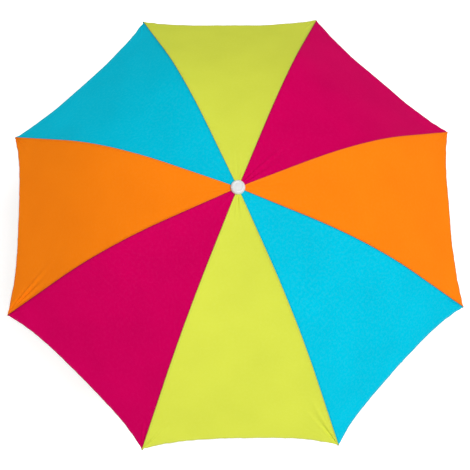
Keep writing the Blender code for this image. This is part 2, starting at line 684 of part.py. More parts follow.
def build_frame():
    rib = rib_mesh()
    stretcher = stretcher_mesh()
    tip = rib_tip_mesh()
    crown_pivot = (PIVOT_RADIUS, 0, PIVOT_HEIGHT)
    (inner_x, inner_z), _ = stretcher_ends()
    end_x, end_z = under_cloth(RIB_END, CLOTH_LIFT)
    end_slope = cloth_line(RIB_END)[2]
    lead = Vector((math.cos(end_slope), 0, -math.sin(end_slope)))
    tip_turn = Matrix.Rotation(math.pi / 2 + end_slope, 4, "Y")
    tip_place = moved_to(Vector((end_x, 0, end_z)) + lead * GAP) @ tip_turn
    for number in range(1, RIB_COUNT + 1):
        turn = FIRST_RIB + (number - 1) * RIB_STEP
        add_on_pivot(f"rib_{number}", rib, "white_steel", crown_pivot, turn)
        add_on_pivot(f"stretcher_{number}", stretcher, "white_steel", (inner_x, 0, inner_z), turn)
        place = Matrix.Rotation(turn, 4, "Z") @ tip_place
        add_object(f"rib_tip_{number}", tip.copy(), "dark_plastic", place)


def build_canopy():
    crown_pivot = (PIVOT_RADIUS, 0, PIVOT_HEIGHT)
    halves = {"b": half_panel(-1), "a": half_panel(1)}
    for number in range(1, RIB_COUNT + 1):
        turn = FIRST_RIB + (number - 1) * RIB_STEP
        for letter, panel in (("b", number), ("a", number % RIB_COUNT + 1)):
            cloth = PANEL_CLOTHS[(panel - 1) % len(PANEL_CLOTHS)]
            add_on_pivot(f"canopy_panel_{panel}{letter}", halves[letter], cloth, crown_pivot, turn)


clear_scene()
build_poles()
build_crown_and_runner()
build_frame()
build_canopy()
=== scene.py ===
import json
import math

import bmesh
import bpy
import numpy as np
from mathutils import Matrix, Vector


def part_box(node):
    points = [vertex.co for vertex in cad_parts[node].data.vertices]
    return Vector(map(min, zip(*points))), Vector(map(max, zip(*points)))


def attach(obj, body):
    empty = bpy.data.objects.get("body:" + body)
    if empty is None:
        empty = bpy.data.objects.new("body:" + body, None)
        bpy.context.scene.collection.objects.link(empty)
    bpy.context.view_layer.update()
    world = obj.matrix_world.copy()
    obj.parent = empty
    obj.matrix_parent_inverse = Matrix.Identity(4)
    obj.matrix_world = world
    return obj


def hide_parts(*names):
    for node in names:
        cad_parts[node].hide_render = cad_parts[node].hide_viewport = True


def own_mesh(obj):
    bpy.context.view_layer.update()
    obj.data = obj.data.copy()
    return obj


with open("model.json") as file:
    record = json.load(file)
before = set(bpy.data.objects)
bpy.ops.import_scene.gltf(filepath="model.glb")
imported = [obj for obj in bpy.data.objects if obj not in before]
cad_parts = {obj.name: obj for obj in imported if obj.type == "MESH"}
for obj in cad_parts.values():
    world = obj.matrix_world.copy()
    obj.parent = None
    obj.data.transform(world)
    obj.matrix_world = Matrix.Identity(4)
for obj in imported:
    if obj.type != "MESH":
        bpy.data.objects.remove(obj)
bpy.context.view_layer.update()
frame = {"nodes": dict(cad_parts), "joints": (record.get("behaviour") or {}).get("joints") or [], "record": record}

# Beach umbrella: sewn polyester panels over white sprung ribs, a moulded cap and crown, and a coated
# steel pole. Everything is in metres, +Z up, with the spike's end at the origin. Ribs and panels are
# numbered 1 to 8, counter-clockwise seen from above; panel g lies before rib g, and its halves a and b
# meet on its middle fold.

JOINTS = {joint["name"]: joint for joint in frame["joints"]}

# Cut of the canopy, as in the frame, but for the hollow of the hem: each panel here has its own depth
RIBS = 8
RIB_STEP = 2 * math.pi / RIBS
RIB_LENGTH = 0.895
INNER_RUN = 0.220
OUTER_RUN = 0.266
CROWN_SLOPE = math.radians(5.3)
TIP_SLOPE = math.radians(38.7)
CLOTH_START = 0.0098
CLOTH_SAG = 0.012
CLOTH_LIFT = 0.0040
HEM_SCALLOP = {1: 0.033, 2: 0.044, 3: 0.045, 4: 0.054, 5: 0.038, 6: 0.034, 7: 0.036, 8: 0.038}
HEM_POWER = 3.4
RIB_END = RIB_LENGTH - 0.012
BEND_RUN = RIB_LENGTH - INNER_RUN - OUTER_RUN
BEND_RADIUS = BEND_RUN / (TIP_SLOPE - CROWN_SLOPE)

# Sewing. Orange and lime panels are odd and are lapped over the even ones, magenta and turquoise.
SEAM_ALLOWANCE = 0.007
ALLOWANCE_COLUMN = 6
LAP = 0.0008
LAP_RISE = 0.0007
LAP_WIDTH = 0.006
TUCK_DEPTH = 0.0008
TUCK_WIDTH = 0.0045
HEM_NIBBLE = 0.0008
HEM_STITCH = 0.0065
LAP_STITCH = 0.0030
STITCH_PITCH = 0.0032
THREAD_HALF_WIDTH = 0.00035
THREAD_SHARE = 0.72
TIE_RUNS = (0.300, 0.620)
TIE_WIDTH = 0.009
POCKET_LENGTH = 0.030
POCKET_SETBACK = 0.0015
SLEEVE_RADIUS = 0.0020
SLEEVE_THICKNESS = 0.0004
SLEEVE_SIDES = 20
BINDING_OUTSIDE = 0.0034
BINDING_THICKNESS = 0.0007
BINDING_TIP_SHARE = 0.10
BINDING_TIP_RUN = 0.060
TAPE_DROP = 0.0006
CAP_COVER = 0.0245

# Copied pieces: points this close are one, and edges sharper than this stay crisp
WELD = 0.00001
SHARP_EDGE = math.radians(30)

# Cap
CAP_HEIGHT = 0.0135
CAP_WALL = 0.0035
CAP_LAND = 0.0150
CAP_DISH = 0.0013
CAP_SHOULDER_STEPS = 12

ROWS = 140
NEAR_SEAM = (0.0, 0.0006, 0.0013, 0.0022, 0.0035, 0.0052, 0.0075, 0.010, 0.0125, 0.015, 0.0175, 0.020,
             0.023, 0.026, 0.030, 0.034, 0.039)
FAR_COLUMNS = 26

# Creases that start at a rib tip: panel, seam (0 clockwise, 1 counter-clockwise), angle off the seam,
# length, height
TIP_CREASES = (
    (8, 1, 5, 0.15, 0.0031), (8, 1, 11, 0.12, -0.0029), (7, 1, 6, 0.17, 0.0034), (7, 1, 12, 0.22, 0.0039),
    (7, 1, 21, 0.20, -0.0031), (5, 1, 9, 0.22, 0.0047), (5, 1, 19, 0.25, 0.0052), (5, 1, 30, 0.14, -0.0031),
    (5, 0, 24, 0.10, 0.0029), (5, 0, 44, 0.09, -0.0029), (4, 0, 30, 0.12, 0.0029), (4, 0, 44, 0.10, -0.0023),
    (2, 0, 6, 0.13, 0.0036), (1, 1, 26, 0.11, 0.0031), (6, 1, 10, 0.12, -0.0029), (6, 1, 17, 0.10, 0.0023),
    (7, 0, 27, 0.14, 0.0029), (3, 0, 14, 0.12, 0.0021), (6, 0, 14, 0.11, 0.0023), (1, 0, 16, 0.12, 0.0023),
)
# Long creases that run out from the cap: panel, place across the panel, length, height
CROWN_CREASES = (
    (2, 0.50, 0.26, 0.0022), (2, 0.24, 0.17, 0.0018), (7, 0.62, 0.10, 0.0012), (4, 0.42, 0.18, 0.0012),
)

# Smaller creases and ripples, drawn at random: how many, how long and how high they are
PULLED_CREASES = 4
PULLED_LENGTH = (0.05, 0.15)
PULLED_HEIGHT = (0.0003, 0.0009)
GATHERS = 6
GATHER_LENGTH = (0.05, 0.14)
GATHER_HEIGHT = 0.0011
GATHER_BOW = 0.12
GATHER_START = 0.024
PUCKER_PITCHES = (0.021, 0.034)
PUCKER_HEIGHT = 0.00028
PUCKER_AT = 0.007
PUCKER_WIDTH = 0.008
RIPPLE_PITCHES = (0.036, 0.058, 0.11)
RIPPLE_HEIGHT = 0.00055
RIPPLE_REACH = 0.030
SLACK_HEIGHT = 0.0013
SLACK_REACH = 0.12
WAVES = 3
WAVE_HEIGHT = 0.0008
SEAM_HOLD = 0.006

# Studio
FLOOR_RADIUS = 30.0
FLOOR_GLOW = 0.6
KEY_PLACE = (1.6, -1.8, 9.5)
KEY_TARGET = (0, 0, 1.2)
KEY_SIZE = 2.0
KEY_POWER = 510


# ---------------------------------------------------------------- materials

def linear(hex_colour):
    """An sRGB hex colour as linear light, with full opacity."""
    channels = [int(hex_colour[i:i + 2], 16) / 255 for i in (1, 3, 5)]
    return [c / 12.92 if c <= 0.04045 else ((c + 0.055) / 1.055) ** 2.4 for c in channels] + [1.0]


def add_node(tree, kind, settings=None, inputs=None):
    """Adds a node; settings are its own options, and inputs are values or sockets to link from."""
    node = tree.nodes.new(kind)
    for name, value in (settings or {}).items():
        setattr(node, name, value)
    for name, value in (inputs or {}).items():
        socket = node.inputs[name]
        if isinstance(value, bpy.types.NodeSocket):
            tree.links.new(value, socket)
        else:
            socket.default_value = value
    return node


def new_material(name):
    """An empty node tree with a Principled surface; returns the material, its tree and its shader."""
    made = bpy.data.materials.new(name)
    made.use_nodes = True
    tree = made.node_tree
    return made, tree, tree.nodes["Principled BSDF"]


def dashes(tree, along, beside, place, pitch):
    """A row of stitches: 1 on each thread, at a set distance from an edge."""
    near = add_node(tree, "ShaderNodeMath", {"operation": "COMPARE"},
                    {0: beside, 1: place, 2: THREAD_HALF_WIDTH})
    count = add_node(tree, "ShaderNodeMath", {"operation": "DIVIDE"}, {0: along, 1: pitch})
    step = add_node(tree, "ShaderNodeMath", {"operation": "FRACT"}, {0: count.outputs["Value"]})
    thread = add_node(tree, "ShaderNodeMath", {"operation": "LESS_THAN"},
                      {0: step.outputs["Value"], 1: THREAD_SHARE})
    return add_node(tree, "ShaderNodeMath", {"operation": "MULTIPLY"},
                    {0: near.outputs["Value"], 1: thread.outputs["Value"]}).outputs["Value"]


def woven_polyester(name, colour, deep_and_shade_colour, sheen_and_thread_colour, glow_colour, lapped):
    """Plain-woven polyester taffeta, dyed through and calendered: an even, strong colour, with a satin sheen
    painted in as paler random mottling.

    The threads really lie 0.25 mm apart; they are drawn 1.1 mm apart so that the weave shows at all.
    Light comes through the cloth, so its underside glows in its own colour. Painted shade darkens the cloth
    beside each seam, as if its groove held shadow: broadly on the tucked-under panels, thinly on the lapped ones.
    """
    made, tree, shader = new_material(name)
    place = add_node(tree, "ShaderNodeUVMap", {"uv_map": "cloth"})
    flat = add_node(tree, "ShaderNodeSeparateXYZ", None, {"Vector": place.outputs["UV"]})
    edges = add_node(tree, "ShaderNodeSeparateXYZ", None,
                     {"Vector": add_node(tree, "ShaderNodeUVMap", {"uv_map": "edges"}).outputs["UV"]})
    thread = 2 * math.pi / (20 * 0.0011)
    waves = []
    for direction in ("X", "Y"):
        waves.append(add_node(tree, "ShaderNodeTexWave", {"wave_type": "BANDS", "bands_direction": direction},
                              {"Vector": place.outputs["UV"], "Scale": thread, "Distortion": 0.6,
                               "Detail": 1.0, "Detail Scale": 0.5}))
    weave = add_node(tree, "ShaderNodeMath", {"operation": "MULTIPLY"},
                     {0: waves[0].outputs["Fac"], 1: waves[1].outputs["Fac"]})
    # Painted sheen: random patches mixed towards the pale colour stand in for the satin's sheen.
    sheen_noise = add_node(tree, "ShaderNodeTexNoise", None,
                    {"Vector": place.outputs["UV"], "Scale": 110.0, "Detail": 6.0, "Roughness": 0.7})
    broad = add_node(tree, "ShaderNodeTexNoise", None,
                     {"Vector": place.outputs["UV"], "Scale": 5.0, "Detail": 2.0, "Roughness": 0.5})
    deep = add_node(tree, "ShaderNodeMapRange", None,
                    {"Value": broad.outputs["Fac"], "From Min": 0.35, "From Max": 0.75,
                     "To Min": 0.0, "To Max": 0.14})
    pale = add_node(tree, "ShaderNodeMapRange", None,
                    {"Value": sheen_noise.outputs["Fac"], "From Min": 0.45, "From Max": 0.75,
                     "To Min": 0.0, "To Max": 0.13})
    dyed = add_node(tree, "ShaderNodeMix", {"data_type": "RGBA"},
                    {"Factor": deep.outputs["Result"], "A": linear(colour), "B": linear(deep_and_shade_colour)})
    sheen_mottled = add_node(tree, "ShaderNodeMix", {"data_type": "RGBA"},
                     {"Factor": pale.outputs["Result"], "A": dyed.outputs["Result"],
                      "B": linear(sheen_and_thread_colour)})
    # Painted shade: the cloth is darkened towards the deep colour near each seam, as if shadow lay in the groove.
    painted_seam_shade = add_node(tree, "ShaderNodeMapRange", {"interpolation_type": "SMOOTHSTEP"},
                      {"Value": edges.outputs["X"], "From Min": 0.0, "From Max": 0.0012 if lapped else 0.0030,
                       "To Min": 0.35 if lapped else 0.85, "To Max": 0.0})
    sewn = add_node(tree, "ShaderNodeMix", {"data_type": "RGBA"},
                    {"Factor": painted_seam_shade.outputs["Result"], "A": sheen_mottled.outputs["Result"],
                     "B": linear(deep_and_shade_colour)})
    stitches = dashes(tree, flat.outputs["X"], edges.outputs["Y"], HEM_STITCH, STITCH_PITCH)
    if lapped:
        beside_seam = dashes(tree, flat.outputs["Y"], edges.outputs["X"], LAP_STITCH, STITCH_PITCH)
        both = add_node(tree, "ShaderNodeMath", {"operation": "MAXIMUM"}, {0: stitches, 1: beside_seam})
        stitches = both.outputs["Value"]
    threaded = add_node(tree, "ShaderNodeMix", {"data_type": "RGBA"},
                        {"Factor": stitches, "A": sewn.outputs["Result"], "B": linear(sheen_and_thread_colour)})
    relief = add_node(tree, "ShaderNodeMath", {"operation": "MULTIPLY_ADD"},
                      {0: stitches, 1: 3.0, 2: weave.outputs["Value"]})
    bump = add_node(tree, "ShaderNodeBump", None,
                    {"Strength": 0.3, "Distance": 0.00012, "Height": relief.outputs["Value"]})
    tree.links.new(threaded.outputs["Result"], shader.inputs["Base Color"])
    tree.links.new(bump.outputs["Normal"], shader.inputs["Normal"])
    shader.inputs["Roughness"].default_value = 0.55
    shader.inputs["Specular IOR Level"].default_value = 0.004
    shader.inputs["IOR"].default_value = 1.53
    through = add_node(tree, "ShaderNodeBsdfTranslucent", None, {"Color": linear(glow_colour)})
    blend = add_node(tree, "ShaderNodeMixShader", None,
                     {"Fac": 0.12, 1: shader.outputs["BSDF"], 2: through.outputs["BSDF"]})
    tree.links.new(blend.outputs["Shader"], tree.nodes["Material Output"].inputs["Surface"])
    return made


def cotton_tape():
    """White herringbone tape, woven and folded over: matt, with a fine rib along its length."""
    made, tree, shader = new_material("white_cotton_tape")
    place = add_node(tree, "ShaderNodeUVMap", {"uv_map": "cloth"})
    # Tape ribs lie 0.5 mm apart and are drawn 1.5 mm apart.
    ribs = add_node(tree, "ShaderNodeTexWave", {"wave_type": "BANDS", "bands_direction": "DIAGONAL"},
                    {"Vector": place.outputs["UV"], "Scale": 2 * math.pi / (20 * 0.0015), "Distortion": 0.4})
    dust = add_node(tree, "ShaderNodeTexNoise", None,
                    {"Vector": place.outputs["UV"], "Scale": 60.0, "Detail": 3.0})
    tone = add_node(tree, "ShaderNodeMix", {"data_type": "RGBA"},
                    {"Factor": dust.outputs["Fac"], "A": linear("#f3f2ef"), "B": linear("#e2e2df")})
    bump = add_node(tree, "ShaderNodeBump", None,
                    {"Strength": 0.4, "Distance": 0.0002, "Height": ribs.outputs["Fac"]})
    tree.links.new(tone.outputs["Result"], shader.inputs["Base Color"])
    tree.links.new(bump.outputs["Normal"], shader.inputs["Normal"])
    shader.inputs["Roughness"].default_value = 0.85
    return made


def powder_coated_steel():
    """White powder-coated steel tube: a soft gloss with the fine orange peel that baked powder leaves."""
    made, tree, shader = new_material("white_powder_coat")
    place = add_node(tree, "ShaderNodeTexCoord")
    # Orange peel is about 1 mm across and is drawn 2 mm across.
    peel = add_node(tree, "ShaderNodeTexNoise", None,
                    {"Vector": place.outputs["Object"], "Scale": 1 / 0.002, "Detail": 2.0, "Roughness": 0.4})
    wear = add_node(tree, "ShaderNodeTexNoise", None,
                    {"Vector": place.outputs["Object"], "Scale": 14.0, "Detail": 5.0, "Roughness": 0.6})
    tone = add_node(tree, "ShaderNodeMix", {"data_type": "RGBA"},
                    {"Factor": wear.outputs["Fac"], "A": linear("#f2f3f2"), "B": linear("#e3e4e4")})
    gloss = add_node(tree, "ShaderNodeMapRange", None,
                     {"Value": wear.outputs["Fac"], "To Min": 0.24, "To Max": 0.40})
    bump = add_node(tree, "ShaderNodeBump", None,
                    {"Strength": 0.25, "Distance": 0.0001, "Height": peel.outputs["Fac"]})
    tree.links.new(tone.outputs["Result"], shader.inputs["Base Color"])
    tree.links.new(gloss.outputs["Result"], shader.inputs["Roughness"])
    tree.links.new(bump.outputs["Normal"], shader.inputs["Normal"])
    shader.inputs["Coat Weight"].default_value = 0.25
    shader.inputs["Coat Roughness"].default_value = 0.15
    return made


def moulded_plastic(name, colour, shadow_colour, roughness):
    """Injection-moulded polypropylene: a waxy gloss with the faint grain of the mould."""
    made, tree, shader = new_material(name)
    place = add_node(tree, "ShaderNodeTexCoord")
    # The mould's spark grain is 0.1 mm and is drawn 0.8 mm across.
    grain = add_node(tree, "ShaderNodeTexNoise", None,
                     {"Vector": place.outputs["Object"], "Scale": 1 / 0.0008, "Detail": 2.0})
    flow = add_node(tree, "ShaderNodeTexNoise", None,
                    {"Vector": place.outputs["Object"], "Scale": 40.0, "Detail": 3.0, "Distortion": 0.8})
    tone = add_node(tree, "ShaderNodeMix", {"data_type": "RGBA"},
                    {"Factor": flow.outputs["Fac"], "A": linear(colour), "B": linear(shadow_colour)})
    bump = add_node(tree, "ShaderNodeBump", None,
                    {"Strength": 0.2, "Distance": 0.00008, "Height": grain.outputs["Fac"]})
    tree.links.new(tone.outputs["Result"], shader.inputs["Base Color"])
    tree.links.new(bump.outputs["Normal"], shader.inputs["Normal"])
    shader.inputs["Roughness"].default_value = roughness
    shader.inputs["IOR"].default_value = 1.49
    shader.inputs["Subsurface Weight"].default_value = 0.08
    shader.inputs["Subsurface Radius"].default_value = (0.004, 0.004, 0.004)
    return made


def drawn_steel():
    """Bright zinc-plated steel wire and pin: grey, with fine draw lines round it."""
    made, tree, shader = new_material("bright_drawn_steel")
    place = add_node(tree, "ShaderNodeTexCoord")
    # Draw lines are 0.05 mm apart and are drawn 0.6 mm apart.
    lines = add_node(tree, "ShaderNodeTexNoise", None,
                     {"Vector": place.outputs["Object"], "Scale": 1 / 0.0006, "Detail": 4.0})
    tone = add_node(tree, "ShaderNodeMix", {"data_type": "RGBA"},
                    {"Factor": lines.outputs["Fac"], "A": linear("#c6c8ca"), "B": linear("#9a9da0")})
    gloss = add_node(tree, "ShaderNodeMapRange", None,
                     {"Value": lines.outputs["Fac"], "To Min": 0.2, "To Max": 0.42})
    tree.links.new(tone.outputs["Result"], shader.inputs["Base Color"])
    tree.links.new(gloss.outputs["Result"], shader.inputs["Roughness"])
    shader.inputs["Metallic"].default_value = 1.0
    return made


# ---------------------------------------------------------------- shapes of the canopy

def cloth_line(run):
    """Radius, drop and slope of the cloth over a rib, for an array of runs from the axis."""
    run = np.asarray(run, float)
    straight = np.minimum(run, INNER_RUN)
    slope = CROWN_SLOPE + np.clip(run - INNER_RUN, 0, BEND_RUN) / BEND_RADIUS
    outer = np.maximum(run - INNER_RUN - BEND_RUN, 0)
    radius = straight * math.cos(CROWN_SLOPE) + BEND_RADIUS * (np.sin(slope) - math.sin(CROWN_SLOPE))
    drop = straight * math.sin(CROWN_SLOPE) + BEND_RADIUS * (math.cos(CROWN_SLOPE) - np.cos(slope))
    return radius + outer * np.cos(slope), drop + outer * np.sin(slope), slope


def crown_height():
    """The cloth's height on the axis, from the rib pivot, which hangs a set lift below the cloth."""
    pivot = Vector(JOINTS["rib_1_swing"]["pos_m"])
    run = (pivot.xy.length + CLOTH_LIFT * math.sin(CROWN_SLOPE)) / math.cos(CROWN_SLOPE)
    return pivot.z + CLOTH_LIFT * math.cos(CROWN_SLOPE) + float(cloth_line(run)[1])


CROWN_HEIGHT = crown_height()


def smooth(value):
    value = np.clip(value, 0, 1)
    return value * value * (3 - 2 * value)


def seam_columns(run, lapped):
    """Places across a whole panel, 0 to 1, crowded at both seams; one row of them for each run."""
    half_width = cloth_line(run)[0] * math.sin(RIB_STEP / 2)
    fit = np.minimum(1.0, half_width / (1.6 * NEAR_SEAM[-1]))[:, None]
    close = np.array(NEAR_SEAM)[None, :] * fit / half_width[:, None] / 2
    share = np.linspace(0, 1, FAR_COLUMNS + 1)[1:] ** 1.25
    far = close[:, -1:] + (0.5 - close[:, -1:]) * share[None, :]
    half = np.concatenate([close, far], axis=1)
    if lapped:
        # The lapped panel's edge is folded just past the seam.
        half[:, 0] = -LAP * np.minimum(1.0, half_width / 0.02) / half_width / 2
    return np.concatenate([half, 1 - half[:, -2::-1]], axis=1)


def panel_surface(run, across):
    """Points of a tensioned panel whose middle lies along +X: straight between ribs, less a slight sag."""
    radius, drop, slope = cloth_line(run)
    half = RIB_STEP / 2
    sag = CLOTH_SAG * np.sin(np.pi * run / RIB_LENGTH) ** 2 * 4 * across * (1 - across)
    x = radius * math.cos(half) - np.sin(slope) * sag
    y = radius * math.sin(half) * (2 * across - 1)
    z = CROWN_HEIGHT - drop - np.cos(slope) * sag
    return np.stack([x, y, z], axis=-1)


def surface_normals(points):
    along = np.gradient(points, axis=0)
    across = np.gradient(points, axis=1)
    normal = np.cross(along, across)
    return normal / np.linalg.norm(normal, axis=-1, keepdims=True)


def ridge(offset):
    """A pinched ridge with a shallow trough on each side of it."""
    return np.exp(-offset ** 2) - 0.35 * np.exp(-(offset - 1.9) ** 2) - 0.35 * np.exp(-(offset + 1.9) ** 2)


def fade(place, length):
    """Grows over the first tenth of a crease and dies away along the rest of it."""
    return smooth(place / (0.10 * length)) * (1 - smooth((place - 0.25 * length) / (0.75 * length)))


def tip_crease(from_seam, from_tip, angle, length, height):
    """A crease pulled out of a rib tip, at an angle to the seam, which widens as it goes."""
    slant = math.radians(angle)
    along = from_seam * math.sin(slant) + from_tip * math.cos(slant)
    offset = from_seam * math.cos(slant) - from_tip * math.sin(slant)
    width = 0.0022 + 0.030 * np.clip(along, 0, length)
    return height * ridge(offset / width) * fade(along, length)


def wrinkles(run, across, width, number):
    """Depth of the cloth's creases and puckers along its normal, zero on both seams."""
    draw = np.random.default_rng(100 + number)
    from_clockwise = width * across
    from_other = width * (1 - across)
    from_seam = np.minimum(from_clockwise, from_other)
    from_tip = RIB_LENGTH - run
    depth = np.zeros_like(across)
    for panel, seam, angle, length, height in TIP_CREASES:
        if panel == number:
            depth += tip_crease((from_clockwise, from_other)[seam], from_tip, angle, length, height)
    # Finer pulled creases at both tips of every panel.
    for from_side in (from_clockwise, from_other):
        for _ in range(PULLED_CREASES):
            depth += tip_crease(from_side, from_tip, draw.uniform(4, 60), draw.uniform(*PULLED_LENGTH),
                                draw.uniform(*PULLED_HEIGHT) * draw.choice([-1, 1]))
    # Gathers that run out from under the cap, each of its own length.
    crown = [(draw.uniform(0.10, 0.90), draw.uniform(*GATHER_LENGTH),
              draw.uniform(-GATHER_HEIGHT, GATHER_HEIGHT)) for _ in range(GATHERS)]
    crown += [crease[1:] for crease in CROWN_CREASES if crease[0] == number]
    for place, length, height in crown:
        bow = place + GATHER_BOW * (run - 0.03) * draw.choice([-1, 1])
        spread = 0.0018 + 0.022 * np.clip(run, 0, length)
        depth += height * ridge(width * (across - bow) / spread) * fade(run - GATHER_START, length)
    # Puckers along the seams, where the thread draws the cloth up.
    for pitch in PUCKER_PITCHES:
        pucker = np.sin(2 * np.pi * run / pitch + draw.uniform(0, 6))
        depth += PUCKER_HEIGHT * pucker * np.exp(-((from_seam - PUCKER_AT) / PUCKER_WIDTH) ** 2)
    # Ripples along the hem, which is drawn up by its tape.
    ripple = sum(np.sin(2 * np.pi * width * (across - 0.5) / pitch + draw.uniform(0, 6))
                 for pitch in RIPPLE_PITCHES)
    depth += RIPPLE_HEIGHT * ripple * np.exp(-(from_tip / RIPPLE_REACH) ** 2)
    slack = sum(np.sin(2 * np.pi * across * k + draw.uniform(0, 6)) / k for k in (2, 3, 5))
    depth += SLACK_HEIGHT * slack * np.exp(-(from_tip / SLACK_REACH) ** 2)
    # Broad, shallow waves down the panel.
    for k in range(WAVES):
        wave = np.sin(2 * np.pi * ((k + 1) * 0.9 * across + draw.uniform(-0.6, 0.6) * run / RIB_LENGTH
                                   + draw.uniform()))
        depth += WAVE_HEIGHT * wave / (k + 1) * np.sin(np.pi * np.clip(run / RIB_LENGTH, 0, 1))
    return depth * smooth(from_seam / SEAM_HOLD)


def panel_grid(number):
    """Points and normals of a whole panel, its flat coordinates, and its distances from seam and hem."""
    lapped = number % 2 == 1
    share = np.linspace(0, 1, ROWS)
    base_run = CLOTH_START + (RIB_LENGTH - CLOTH_START) * share
    across = seam_columns(base_run, lapped)
    w = 1 - np.abs(2 * across - 1)
    scallop = HEM_SCALLOP[number] * (1 - (1 - w.clip(0, 1)) ** HEM_POWER)
    hem = (RIB_LENGTH - 0.03) * across
    nibble = sum(np.sin(2 * np.pi * hem / pitch + pitch * 900 * number) for pitch in (0.031, 0.047, 0.083))
    run = base_run[:, None] - scallop * (share ** 3)[:, None]
    run = run - HEM_NIBBLE * (1 + nibble / 3) * smooth(w / 0.12) * (share ** 30)[:, None]
    width = 2 * cloth_line(run)[0] * math.sin(RIB_STEP / 2)
    from_seam = width * np.minimum(across, 1 - across)
    points = panel_surface(run, across)
    normal = surface_normals(points)
    if lapped:
        rise = LAP_RISE * (1 - smooth(from_seam / LAP_WIDTH))
    else:
        rise = -TUCK_DEPTH * (1 - smooth(from_seam / TUCK_WIDTH))
    uncovered = smooth((cloth_line(run)[0] - CAP_COVER) / 0.008)
    depth = (wrinkles(run, across, width, number) + rise) * uncovered
    points = points + normal * depth[..., None]
    flat = np.stack([width * (across - 0.5), run], axis=-1)
    edges = np.stack([from_seam, base_run[-1] - base_run[:, None] + 0 * run], axis=-1)
    return points, surface_normals(points), flat, edges


def turn_about_z(points, angle):
    c, s = math.cos(angle), math.sin(angle)
    return points @ np.array([[c, s, 0], [-s, c, 0], [0, 0, 1]])


def grid_mesh(name, points, normals, flat, edges):
    """A smooth open sheet from a grid, with its flat coordinates and its distances from seam and hem."""
    rows, columns = points.shape[:2]
    index = np.arange(rows * columns).reshape(rows, columns)
    faces = np.stack([index[:-1, :-1], index[1:, :-1], index[1:, 1:], index[:-1, 1:]], axis=-1).reshape(-1, 4)
    mesh = bpy.data.meshes.new(name)
    mesh.from_pydata(points.reshape(-1, 3).tolist(), [], faces.tolist())
    corner_vertices = np.empty(len(mesh.loops), int)
    mesh.loops.foreach_get("vertex_index", corner_vertices)
    for layer_name, values in (("cloth", flat), ("edges", edges)):
        layer = mesh.uv_layers.new(name=layer_name)
        layer.data.foreach_set("uv", values.reshape(-1, 2)[corner_vertices].ravel())
    mesh.shade_smooth()
    if normals is not None:
        mesh.normals_split_custom_set_from_vertices(normals.reshape(-1, 3).tolist())
    return mesh


def add_piece(name, mesh, material, body):
    piece = bpy.data.objects.new(name, mesh)
    bpy.context.scene.collection.objects.link(piece)
    mesh.materials.append(material)
    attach(piece, body)
    return piece


def flatten_on_rib(piece):
    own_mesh(piece)


def seam_allowance(points, normals, first):
    """The turned-in cloth beside a seam: two more columns that lie just under the panel's edge."""
    seam, beside = (0, ALLOWANCE_COLUMN) if first else (-1, -1 - ALLOWANCE_COLUMN)
    edge, inner, normal = points[:, seam], points[:, beside], normals[:, beside]
    toward = inner - edge
    length = np.linalg.norm(toward, axis=-1, keepdims=True)
    toward = toward / length
    fold = edge + toward * 0.0003 - normal * 0.0005
    end = edge + toward * np.minimum(SEAM_ALLOWANCE, 0.8 * length) - normal * 0.0011
    return (end, fold) if first else (fold, end)


def half_of(letter, surface):
    """One half's points, normals, flat coordinates and edge distances, with its seam allowance added."""
    points, normals, flat, edges = surface
    middle = points.shape[1] // 2
    first = letter == "a"
    use = slice(0, middle + 1) if first else slice(middle, None)
    points, normals, flat, edges = (grid[:, use] for grid in (points, normals, flat, edges))
    turned_in = np.stack(seam_allowance(points, normals, first), axis=1)
    seam = 0 if first else -1
    under_normal = np.repeat(-normals[:, seam][:, None], 2, axis=1)
    beside = [np.repeat(grid[:, seam][:, None], 2, axis=1) for grid in (flat, edges)]
    beside[1] = beside[1] + np.array([0.02, 0.0])
    pairs = ((turned_in, points), (under_normal, normals), (beside[0], flat), (beside[1], edges))
    return [np.concatenate(pair if first else pair[::-1], axis=1) for pair in pairs]


def canopy_half(number, letter, surface, material):
    """One half of a panel with its turned-in seam edge, on the body that folds it."""
    points, normals, flat, edges = half_of(letter, surface)
    turn = (number - 1) * RIB_STEP
    rib = number if letter == "b" else (number - 2) % RIBS + 1
    node = f"canopy_panel_{number}{letter}"
    name = f"panel_{number}{letter}"
    mesh = grid_mesh(name, turn_about_z(points, turn), turn_about_z(normals, turn), flat, edges)
    piece = add_piece(name, mesh, material, node)
    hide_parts(node)
    flatten_on_rib(piece)
    return piece, rib


def frame_slot(node):
    return next(entry["material_slot"] for entry in frame["record"]["subparts"] if entry["node"] == node)


